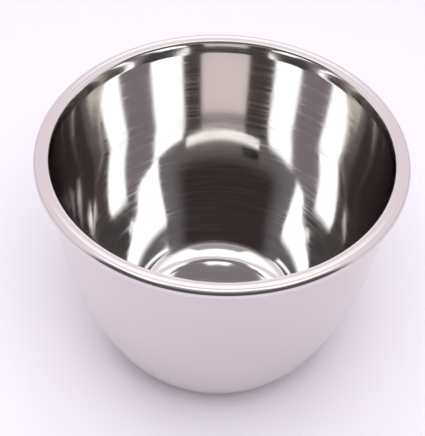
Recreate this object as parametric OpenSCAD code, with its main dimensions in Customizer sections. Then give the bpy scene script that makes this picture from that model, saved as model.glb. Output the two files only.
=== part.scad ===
// Double-walled steel shaving bowl: a drawn inner bowl whose rim is rolled over the top
// edge of a drawn outer shell. The two walls touch at the neck and stand apart below it,
// so the sealed air between them keeps the lather warm. Both are bodies of revolution.
// The origin is the centre of the ring that the bowl stands on, and +Z points up.
// A wall's lean is its angle from upright, so that 90 degrees is a flat bottom.

/* [Bowl] */
// Outer diameter over the rolled rim
rim_d = 110; // [106:0.5:114]
// Height from the surface it stands on to the top of the rim
bowl_h = 79.5; // [78:0.5:84]
// Thickness of the sheet steel of both walls
sheet_t = 0.4; // [0.3:0.05:0.45]

/* [Rim and neck] */
// Inner diameter at the top of the neck
neck_d = 100.8; // [100:0.1:101.6]
// Depth of the foot of the neck below the top of the rim
neck_depth = 4.4; // [4:0.1:5]
// Lean of the neck
neck_lean = 1; // [0.5:0.1:2]
// Radius of the bend at the foot of the neck
neck_bend_r = 6; // [4:0.5:8]
// Radius of the bend from the neck into the top of the rim
lip_r = 1; // [0.8:0.05:1.1]
// Radius of the outside of the rolled edge
roll_r = 1.85; // [1.7:0.05:1.85]
// Turn of the rolled edge from its top, round the outside and under
roll_turn = 255; // [200:5:265]
// Depth of the shell's top edge below the top of the rim
shell_edge_depth = 1.2; // [1.15:0.05:2]

/* [Inner bowl] */
// Height of its flat bottom above the surface the bowl stands on
floor_h = 6.8; // [6.3:0.1:7.3]
// Lean of the wall just below the neck
inner_top_lean = 6.6; // [6.4:0.1:6.8]
// Lean of the wall where its upper curve ends
inner_upper_lean = 10.4; // [10.2:0.1:10.6]
// Lean of the wall where its middle curve ends
inner_mid_lean = 21.8; // [21.5:0.1:22.1]
// Lean of the wall where its lower curve ends
inner_low_lean = 26; // [25.7:0.1:26.3]
// Lean of the wall where it turns into the corner of the bottom
inner_heel_lean = 38.9; // [38.4:0.1:39.4]
// Radius of the upper curve
inner_upper_r = 371; // [366:1:376]
// Radius of the lower curve
inner_low_r = 196; // [191:1:201]
// Radius of the heel
inner_heel_r = 43.2; // [42.2:0.1:44.2]
// Radius of the corner at the bottom
inner_corner_r = 10.2; // [9.7:0.1:10.7]

/* [Outer shell] */
// Lean of the shell just below the neck
outer_top_lean = 4; // [3.6:0.1:4.2]
// Lean of the shell where its upper and middle curves meet
outer_mid_lean = 8.5; // [8:0.1:8.8]
// Lean of the shell where its middle and lower curves meet
outer_heel_lean = 24.9; // [24:0.1:26]
// Lean of the shell where it turns into the corner of the base
outer_low_lean = 45; // [43:0.5:46]
// Radius of the upper curve
outer_upper_r = 309; // [304:1:320]
// Radius of the lower curve
outer_heel_r = 52; // [50:0.5:54]
// Radius of the corner of the base
outer_corner_r = 4.6; // [4:0.1:5.4]

/* [Base] */
// Width of the flat ring that the bowl stands on
stand_w = 3.5; // [2.5:0.1:4.5]
// Height that the middle of the underside is set above that ring
recess_h = 0.6; // [0.4:0.05:0.7]
// Width of the slope between the ring and the middle
recess_w = 1.2; // [1:0.1:1.6]

/* [Hidden] */
$fn = 180;
// Farthest that a straight step may stray from its curve, and the fewest steps in a curve
STRAY = 0.004;
MIN_STEPS = 4;

rim_r = rim_d / 2;
lip_c = [neck_d / 2 + lip_r, bowl_h - lip_r];
roll_c = [rim_r - roll_r, bowl_h - roll_r];
neck_top = polar(lip_c, lip_r, 180 - neck_lean);
neck_foot = on_neck(bowl_h - neck_depth);
neck_side = [cos(neck_lean), -sin(neck_lean)];
shell_neck_foot = neck_foot + 2 * sheet_t * neck_side;
shell_edge = on_neck(bowl_h - shell_edge_depth) + sheet_t * neck_side;

// The middle curve of each wall takes the radius that brings the wall down to its own bottom.
INNER_ABOVE = [
    [neck_lean, inner_top_lean, neck_bend_r],
    [inner_top_lean, inner_upper_lean, inner_upper_r]];
INNER_BELOW = [
    [inner_mid_lean, inner_low_lean, inner_low_r],
    [inner_low_lean, inner_heel_lean, inner_heel_r],
    [inner_heel_lean, 90, inner_corner_r]];
OUTER_ABOVE = [
    [neck_lean, outer_top_lean, neck_bend_r + 2 * sheet_t],
    [outer_top_lean, outer_mid_lean, outer_upper_r]];
OUTER_BELOW = [
    [outer_heel_lean, outer_low_lean, outer_heel_r],
    [outer_low_lean, 90, outer_corner_r]];

// Each curve is [lean at its top, lean at its foot, radius].
INNER_CURVES = closed(INNER_ABOVE, INNER_BELOW, neck_foot.y - floor_h);
OUTER_CURVES = closed(OUTER_ABOVE, OUTER_BELOW, shell_neck_foot.y);

function polar(c, r, a) = c + r * [cos(a), sin(a)];
function steps(r, a0, a1) = max(MIN_STEPS, ceil(abs(a1 - a0) / (2 * acos(1 - STRAY / r))));

// Points along an arc, leaving out its first one
function arc(c, r, a0, a1) =
    let (n = steps(r, a0, a1))
    [for (i = [1:n]) polar(c, r, a0 + (a1 - a0) * i / n)];

// The inside of the neck at height z
function on_neck(z) = [neck_top.x - (neck_top.y - z) * tan(neck_lean), z];

// Drop in height along curves
function drop(curves, i = 0) =
    i == len(curves) ? 0 :
    curves[i][2] * (sin(curves[i][1]) - sin(curves[i][0])) + drop(curves, i + 1);

// The curves above and below with one between them, so that the whole wall drops by height
function closed(above, below, height) =
    let (lean = above[len(above) - 1][1], foot = below[0][0])
    let (left = height - drop(above) - drop(below))
    concat(above, [[lean, foot, left / (sin(foot) - sin(lean))]], below);

// One face of a wall that starts at point p and follows the curves, where off is how far
// the face lies outside the face that the radii are given for
function wall(p, curves, off, i = 0) =
    i == len(curves) ? [] :
    let (lean = curves[i][0], foot = curves[i][1], r = curves[i][2])
    let (c = p + r * [-cos(lean), sin(lean)])
    concat(arc(c, r + off, -lean, -foot), wall(polar(c, r, -foot), curves, off, i + 1));

// The underside of the base from the corner to the axis, raised by off for its top face
function base_line(stand_r, off) =
    let (shift = off * tan(atan(recess_h / recess_w) / 2))
    [
        [stand_r - stand_w + shift, off],
        [stand_r - stand_w - recess_w + shift, recess_h + off],
        [0, recess_h + off]];

module inner_bowl() {
    inside = concat(
        [polar(roll_c, roll_r, 90 - roll_turn)],
        arc(roll_c, roll_r, 90 - roll_turn, 90),
        [polar(lip_c, lip_r, 90)],
        arc(lip_c, lip_r, 90, 180 - neck_lean),
        [neck_foot],
        wall(neck_foot, INNER_CURVES, 0),
        [[0, floor_h]]);
    under_lip_r = lip_r - sheet_t;
    under_roll_r = roll_r - sheet_t;
    outside = concat(
        [polar(roll_c, under_roll_r, 90 - roll_turn)],
        arc(roll_c, under_roll_r, 90 - roll_turn, 90),
        [polar(lip_c, under_lip_r, 90)],
        arc(lip_c, under_lip_r, 90, 180 - neck_lean),
        [neck_foot + sheet_t * neck_side],
        wall(neck_foot, INNER_CURVES, sheet_t),
        [[0, floor_h - sheet_t]]);
    color("gainsboro")
    rotate_extrude()
    polygon(concat(inside, reverse(outside)));
}

module outer_shell() {
    outer_wall = wall(shell_neck_foot, OUTER_CURVES, 0);
    inner_wall = wall(shell_neck_foot, OUTER_CURVES, -sheet_t);
    stand_r = outer_wall[len(outer_wall) - 1].x;
    outside = concat(
        [shell_edge + sheet_t * neck_side, shell_neck_foot],
        outer_wall,
        base_line(stand_r, 0));
    inside = concat(
        [shell_edge, shell_neck_foot - sheet_t * neck_side],
        inner_wall,
        base_line(stand_r, sheet_t));
    color("silver")
    rotate_extrude()
    polygon(concat(outside, reverse(inside)));
}

function reverse(list) = [for (i = [len(list) - 1:-1:0]) list[i]];

inner_bowl();
outer_shell();
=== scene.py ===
"""Looks of the double-walled steel shaving bowl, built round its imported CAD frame.

Metres, +Z up, origin at the centre of the ring that the bowl stands on. Both walls are spun afresh
from the outlines of their CAD nodes, fine enough for mirror reflections, and finished in steel.
Azimuths run round the bowl from the camera's side, towards +X, and elevations up from level.
"""
import math

import bpy
from mathutils import Matrix, Vector


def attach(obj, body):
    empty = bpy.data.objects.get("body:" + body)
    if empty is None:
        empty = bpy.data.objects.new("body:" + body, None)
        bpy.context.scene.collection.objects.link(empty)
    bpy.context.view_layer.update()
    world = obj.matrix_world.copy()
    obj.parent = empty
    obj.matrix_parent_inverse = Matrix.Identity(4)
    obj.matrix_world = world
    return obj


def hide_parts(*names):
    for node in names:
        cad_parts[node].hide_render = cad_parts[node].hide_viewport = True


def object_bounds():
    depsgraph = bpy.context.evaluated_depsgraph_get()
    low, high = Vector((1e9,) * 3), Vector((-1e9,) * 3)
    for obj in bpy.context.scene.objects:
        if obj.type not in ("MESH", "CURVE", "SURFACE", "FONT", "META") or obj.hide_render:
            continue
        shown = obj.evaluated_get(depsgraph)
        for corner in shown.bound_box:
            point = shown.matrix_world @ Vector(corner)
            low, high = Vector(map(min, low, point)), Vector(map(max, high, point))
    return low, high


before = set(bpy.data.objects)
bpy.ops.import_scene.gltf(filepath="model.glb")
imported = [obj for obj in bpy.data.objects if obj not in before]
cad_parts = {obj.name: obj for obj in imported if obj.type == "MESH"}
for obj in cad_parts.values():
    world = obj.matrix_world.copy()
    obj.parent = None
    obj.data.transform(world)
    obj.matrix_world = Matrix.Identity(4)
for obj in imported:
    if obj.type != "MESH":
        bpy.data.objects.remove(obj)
cad_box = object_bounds()
RIM_HEIGHT = cad_box[1].z
MM = 0.001

# Spun surfaces: sectors, the longest step along a fine outline, how far apart the vertices of
# one ring may lie, the turn from which a point is a corner, and how many times longer than the
# step beside it a straight is
SECTORS = 256
LONGEST_STEP = 1.2 * MM
SAME_RING = 0.002 * MM
CORNER_TURN = math.radians(20)
STRAIGHT = 3

# Camera, aimed from the centre of the rim
LENS = 123.85
VIEW_DISTANCE = 0.43715
VIEW_ELEVATION = 43.306
VIEW_PAN = 0.278
VIEW_TILT = -2.55
VIEW_ROLL = 2.33
NEAREST_SEEN = 10 * MM


# ---- Outlines of the CAD nodes ----

def section(node):
    """The outline of a spun CAD node from its upper centre round to its lower one, as (r, z)."""
    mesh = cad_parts[node].data
    rings, ring_at, ring_of = [], {}, []
    for vertex in mesh.vertices:
        place = (math.hypot(vertex.co.x, vertex.co.y), vertex.co.z)
        cell = tuple(round(x / SAME_RING) for x in place)
        near = [(cell[0] + i, cell[1] + j) for i in (0, -1, 1) for j in (0, -1, 1)]
        found = next((ring_at[c] for c in near if c in ring_at), None)
        if found is None:
            found = ring_at[cell] = len(rings)
            rings.append(place)
        ring_of.append(found)
    joined = {i: set() for i in range(len(rings))}
    for edge in mesh.edges:
        a, b = (ring_of[v] for v in edge.vertices)
        if a != b:
            joined[a].add(b)
            joined[b].add(a)
    ends = [i for i in joined if len(joined[i]) == 1]
    walk = [max(ends, key=lambda i: rings[i][1])]
    while True:
        onward = [i for i in joined[walk[-1]] if i not in walk[-2:]]
        if not onward:
            break
        walk.append(onward[0])
    points = [Vector(rings[i]) for i in walk]
    return [Vector((0, points[0].y))] + points + [Vector((0, points[-1].y))]


def tangent(before, here, after):
    """Direction at here of the circle through three points, or of the straight that ends there."""
    into, out = here - before, after - here
    short, long = sorted((into, out), key=lambda step: step.length)
    if long.length > STRAIGHT * short.length:
        return long.normalized()
    return (into / into.length_squared + out / out.length_squared).normalized()


def smooth(points):
    """The outline with its curves sampled more finely. Its corners and straight ends stay sharp."""
    last = len(points) - 1
    turns = [0] + [abs((points[i] - points[i - 1]).angle_signed(points[i + 1] - points[i]))
                   for i in range(1, last)] + [0]
    fine = [points[0]]
    for i in range(last):
        a, b = points[i], points[i + 1]
        chord = b - a
        soft_a = 0 < i and turns[i] < CORNER_TURN
        soft_b = i + 1 < last and turns[i + 1] < CORNER_TURN
        at_a = tangent(points[i - 1], a, b) if soft_a else chord.normalized()
        at_b = tangent(a, b, points[i + 2]) if soft_b else chord.normalized()
        count = max(1, math.ceil(chord.length / LONGEST_STEP))
        for k in range(1, count + 1):
            t = k / count
            fine.append((2 * t**3 - 3 * t**2 + 1) * a + (3 * t**2 - 2 * t**3) * b
                        + chord.length * ((t**3 - 2 * t**2 + t) * at_a + (t**3 - t**2) * at_b))
    return fine


def spin(name, points):
    """A closed surface of revolution about Z, shaded smooth except at its corners."""
    vertices, rings = [], []
    for p in points:
        if p.x < SAME_RING:
            rings.append([len(vertices)] * SECTORS)
            vertices.append((0, 0, p.y))
        else:
            rings.append(range(len(vertices), len(vertices) + SECTORS))
            turns = [2 * math.pi * k / SECTORS for k in range(SECTORS)]
            vertices += [(p.x * math.cos(a), p.x * math.sin(a), p.y) for a in turns]
    faces = []
    for upper, lower in zip(rings, rings[1:]):
        for k in range(SECTORS):
            n = (k + 1) % SECTORS
            corners = [upper[k], lower[k], lower[n], upper[n]]
            faces.append(list(dict.fromkeys(corners)))
    mesh = bpy.data.meshes.new(name)
    mesh.from_pydata(vertices, [], faces)
    mesh.validate()
    mesh.shade_smooth()
    mesh.set_sharp_from_angle(angle=CORNER_TURN)
    piece = bpy.data.objects.new(name, mesh)
    bpy.context.scene.collection.objects.link(piece)
    return piece


# ---- Node trees ----

STREAK_DETAIL = 4.0
# Keeps the distance from the axis above nought where it is divided by
ON_AXIS = 1e-8


def feed(tree, socket, given):
    """Links a socket to an output, or sets its value."""
    if isinstance(given, bpy.types.NodeSocket):
        tree.links.new(given, socket)
    else:
        socket.default_value = given


def calculate(tree, operation, *inputs):
    """Output of a Math node."""
    node = tree.nodes.new("ShaderNodeMath")
    node.operation = operation
    for socket, given in zip(node.inputs, inputs):
        feed(tree, socket, given)
    return node.outputs[0]


def remap(tree, given, low, high, to_low=0.0, to_high=1.0, shape="SMOOTHSTEP"):
    """Output of a Map Range node."""
    node = tree.nodes.new("ShaderNodeMapRange")
    node.interpolation_type = shape
    for name, x in (("Value", given), ("From Min", low), ("From Max", high),
                    ("To Min", to_low), ("To Max", to_high)):
        feed(tree, node.inputs[name], x)
    return node.outputs[0]


def mix_colour(tree, share, a, b):
    """Output of a colour Mix node."""
    node = tree.nodes.new("ShaderNodeMix")
    node.data_type = "RGBA"
    feed(tree, node.inputs[0], share)
    feed(tree, node.inputs[6], a)
    feed(tree, node.inputs[7], b)
    return node.outputs[2]


def window(tree, given, low, high, soft):
    """1 where a value lies between low and high, with soft edges."""
    rise = remap(tree, given, low - soft, low + soft)
    fall = remap(tree, given, high - soft, high + soft, 1.0, 0.0)
    return calculate(tree, "MULTIPLY", rise, fall)


def material(name, base, roughness, metallic=1):
    """A material with one Principled shader; returns it with its tree and shader."""
    made = bpy.data.materials.new(name)
    made.use_nodes = True
    shader = made.node_tree.nodes["Principled BSDF"]
    shader.inputs["Base Color"].default_value = (*base, 1)
    shader.inputs["Metallic"].default_value = metallic
    shader.inputs["Roughness"].default_value = roughness
    return made, made.node_tree, shader


def round_streaks(tree, length, pitch):
    """Noise drawn out into lines that run round the axis, pitch apart across them."""
    place = tree.nodes.new("ShaderNodeTexCoord").outputs["Object"]
    split = tree.nodes.new("ShaderNodeSeparateXYZ")
    tree.links.new(place, split.inputs[0])
    x, y, z = split.outputs
    square = calculate(tree, "ADD", calculate(tree, "MULTIPLY", x, x),
                       calculate(tree, "MULTIPLY", y, y))
    radius = calculate(tree, "SQRT", calculate(tree, "ADD", square, ON_AXIS))
    joined = tree.nodes.new("ShaderNodeCombineXYZ")
    for socket, given in zip(joined.inputs, (x, y)):
        tree.links.new(calculate(tree, "MULTIPLY", calculate(tree, "DIVIDE", given, radius),
                                 1 / length), socket)
    across = calculate(tree, "SUBTRACT", z, radius)
    tree.links.new(calculate(tree, "MULTIPLY", across, 1 / pitch), joined.inputs[2])
    noise = tree.nodes.new("ShaderNodeTexNoise")
    noise.inputs["Scale"].default_value = 1
    noise.inputs["Detail"].default_value = STREAK_DETAIL
    tree.links.new(joined.outputs[0], noise.inputs["Vector"])
    return noise.outputs["Fac"]


def bump(tree, shader, height, distance):
    """Raises a shader's surface by a distance where the height is 1."""
    node = tree.nodes.new("ShaderNodeBump")
    node.inputs["Strength"].default_value = 1
    node.inputs["Distance"].default_value = distance
    tree.links.new(height, node.inputs["Height"])
    tree.links.new(node.outputs[0], shader.inputs["Normal"])


# ---- Materials ----

STEEL = (0.69, 0.645, 0.66)
SATIN = (0.635, 0.577, 0.583)

polished, tree, shader = material("polished_steel", STEEL, 0.05)
streaks = round_streaks(tree, 0.5, 0.35 * MM)
tree.links.new(remap(tree, streaks, 0.35, 0.75, 0.035, 0.13), shader.inputs["Roughness"])
bump(tree, shader, streaks, 0.00022 * MM)

satin, tree, shader = material("satin_steel", SATIN, 0.3)
grain = round_streaks(tree, 0.12, 0.25 * MM)
tree.links.new(remap(tree, grain, 0.3, 0.7, 0.13, 0.19, "LINEAR"), shader.inputs["Roughness"])
bump(tree, shader, grain, 0.001 * MM)

pale, tree, shader = material("floor", (0.90, 0.86, 0.92), 0.9, metallic=0)
shader.inputs["Specular IOR Level"].default_value = 0.2


# ---- Light ----

# What the steel shows of the studio, as (reflections, azimuth of the middle, half width,
# lowest and highest elevation, softness, colour after those reflections). Angles are in
# degrees, and a panel lies over those before it. A half width of 200 goes all the way round.
PANELS = [
    (1, 0, 70, -90, 52, 8, (0.09, 0.075, 0.075)),
    (1, 0, 45, 54, 72, 3.5, (0.33, 0.30, 0.31)),
    (1, 180, 200, 72, 91, 4, (1.10, 1.08, 1.06)),
    (1, 82, 38, 58, 91, 5, (1.10, 1.08, 1.06)),
    (1, -82, 38, 58, 91, 5, (1.10, 1.08, 1.06)),
    (1, 180, 40, 69, 78.5, 2, (0.63, 0.57, 0.58)),
    (1, 180, 14, 47, 57, 2, (1.02, 0.97, 0.98)),
    (1, 180, 9, 25, 39.5, 2, (1.02, 0.97, 0.98)),
    (2, 180, 200, -90, 40, 3, (0.12, 0.10, 0.10)),
    (2, -10, 104, 30, 60, 16, (0.13, 0.12, 0.13)),
    (2, -10, 76, 30, 52, 2.5, (1.25, 1.22, 1.20)),
    (2, 140, 12, 36, 39, 0.7, (0.01, 0.008, 0.008)),
    (2, 180, 52, 0, 36, 0.7, (0.95, 0.90, 0.85)),
    (2, 180, 200, 76.5, 91, 1.5, (0.18, 0.15, 0.162)),
    (2, 0, 200, 60, 76.5, 1, (1.1, 1.1, 1.1)),
    (2, 0, 58, 60, 78.5, 1, (1.1, 1.1, 1.1)),
    (2, 180, 24, 60, 84.3, 0.7, (1.1, 1.1, 1.1)),
    (3, 1, 45, 0, 91, 3, (0.62, 0.53, 0.515)),
    (3, 180, 38, 0, 91, 6, (0.175, 0.145, 0.155)),
    (3, 113, 31, 0, 91, 4, (1.2, 1.18, 1.15)),
    (3, -120, 26, 0, 91, 4, (1.2, 1.18, 1.15)),
    (3, 180, 155, 46.5, 91, 1.2, (0.045, 0.040, 0.040)),
    (3, 0, 62, 45.4, 91, 0.8, (0.050, 0.043, 0.041)),
    (3, 0, 75, 0, 35.3, 0.7, (0.045, 0.04, 0.048)),
    (4, 180, 50, 0, 48, 6, (0.10, 0.08, 0.08)),
    (4, 180, 26, 0, 42, 3, (0.50, 0.46, 0.40)),
    (4, -92, 10, 48, 60, 1.5, (0.8, 0.78, 0.75)),
]
# The studio round them, as (reflections, colour after them). The last is for all that follow.
BACKDROPS = [
    (1, (0.72, 0.62, 0.66)),
    (2, (0.030, 0.020, 0.019)),
    (3, (0.056, 0.042, 0.038)),
    (4, (0.030, 0.021, 0.020)),
]
# What everything that isn't steel gets from the studio
AMBIENT = (0.50, 0.49, 0.52, 1)
DEEPEST = BACKDROPS[-1][0]
# How far a depth may be from a whole number that it counts as
NEAR_WHOLE = 0.25


def studio():
    """The room that the steel mirrors, plain and even for everything that isn't steel."""
    world = bpy.data.worlds.new("studio")
    world.use_nodes = True
    world.cycles.sampling_method = "NONE"
    bpy.context.scene.world = world
    tree = world.node_tree
    direction = tree.nodes.new("ShaderNodeTexCoord").outputs["Generated"]
    split = tree.nodes.new("ShaderNodeSeparateXYZ")
    tree.links.new(direction, split.inputs[0])
    x, y, z = split.outputs
    backward = calculate(tree, "MULTIPLY", y, -1.0)
    azimuth = calculate(tree, "DEGREES", calculate(tree, "ARCTAN2", x, backward))
    elevation = calculate(tree, "DEGREES", calculate(tree, "ARCSINE", z))
    path = tree.nodes.new("ShaderNodeLightPath")
    depth = calculate(tree, "MINIMUM", path.outputs["Glossy Depth"], DEEPEST)
    colour = (1, 1, 1, 1)
    at_depth = {}
    for count, seen in BACKDROPS:
        at_depth[count] = calculate(tree, "COMPARE", depth, float(count), NEAR_WHOLE)
        colour = mix_colour(tree, at_depth[count], colour, radiance(seen, count))
    for count, middle, half, low, high, soft, seen in PANELS:
        turn = calculate(tree, "SUBTRACT", azimuth, middle)
        turn = calculate(tree, "WRAP", turn, 180.0, -180.0)
        away = calculate(tree, "ABSOLUTE", turn)
        share = calculate(tree, "MULTIPLY", at_depth[count],
                          window(tree, elevation, low, high, soft))
        share = calculate(tree, "MULTIPLY", share,
                          remap(tree, away, half - soft, half + soft, 1.0, 0.0))
        colour = mix_colour(tree, share, colour, radiance(seen, count))
    colour = mix_colour(tree, path.outputs["Is Diffuse Ray"], colour, AMBIENT)
    background = tree.nodes["Background"]
    tree.links.new(colour, background.inputs["Color"])


def radiance(seen, count):
    """Light that polished steel shows as the colour seen after a number of reflections."""
    return (*(c / s ** count for c, s in zip(seen, STEEL)), 1)


studio()


def soft_light(name, place, size, energy):
    """A large soft light, aimed at the bowl, that no steel mirrors."""
    light = bpy.data.lights.new(name, "AREA")
    light.shape = "SQUARE"
    light.size = size
    light.energy = energy
    lamp = bpy.data.objects.new(name, light)
    lamp.location = place
    lamp.rotation_euler = Vector(place).to_track_quat("Z", "Y").to_euler()
    lamp.visible_glossy = False
    bpy.context.scene.collection.objects.link(lamp)


soft_light("key", (-0.08, 0.36, 0.80), 0.9, 2.4)
soft_light("fill", (0.03, -0.32, 0.72), 0.5, 3.6)


# ---- Pieces ----

def piece(node, slot, finish, points):
    """A wall spun from its outline, standing in for its CAD node."""
    wall = spin(node + "_wall", points)
    wall.data.materials.append(finish)
    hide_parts(node)
    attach(wall, "root")


piece("inner_bowl", "polished_steel", polished, smooth(section("inner_bowl")))
piece("outer_shell", "satin_steel", satin, smooth(section("outer_shell")))

REACH = 6
FLOOR_GAP = 0.05 * MM
floor_mesh = bpy.data.meshes.new("floor")
floor_mesh.from_pydata([(-REACH, -REACH, 0), (REACH, -REACH, 0), (REACH, REACH, 0),
                        (-REACH, REACH, 0)], [], [(0, 1, 2, 3)])
floor_mesh.materials.append(pale)
floor = bpy.data.objects.new("floor", floor_mesh)
floor.location.z = -FLOOR_GAP
bpy.context.scene.collection.objects.link(floor)


# ---- Camera ----

def camera():
    """The camera at the photograph's angle, as turns about the centre of the rim."""
    lens = bpy.data.cameras.new("camera")
    lens.lens = LENS
    lens.clip_start = NEAREST_SEEN
    made = bpy.data.objects.new("camera", lens)
    el = math.radians(VIEW_ELEVATION)
    place = Vector((0, -VIEW_DISTANCE * math.cos(el), RIM_HEIGHT + VIEW_DISTANCE * math.sin(el)))
    made.matrix_world = (Matrix.Translation(place)
                         @ Matrix.Rotation(math.radians(90 - VIEW_ELEVATION), 4, "X")
                         @ Matrix.Rotation(math.radians(VIEW_PAN), 4, "Y")
                         @ Matrix.Rotation(math.radians(VIEW_TILT), 4, "X")
                         @ Matrix.Rotation(math.radians(VIEW_ROLL), 4, "Z"))
    bpy.context.scene.collection.objects.link(made)
    bpy.context.scene.camera = made


camera()
MOST_BOUNCES = 12
scene = bpy.context.scene
scene.view_settings.view_transform = "Standard"
scene.cycles.max_bounces = MOST_BOUNCES
scene.cycles.glossy_bounces = MOST_BOUNCES
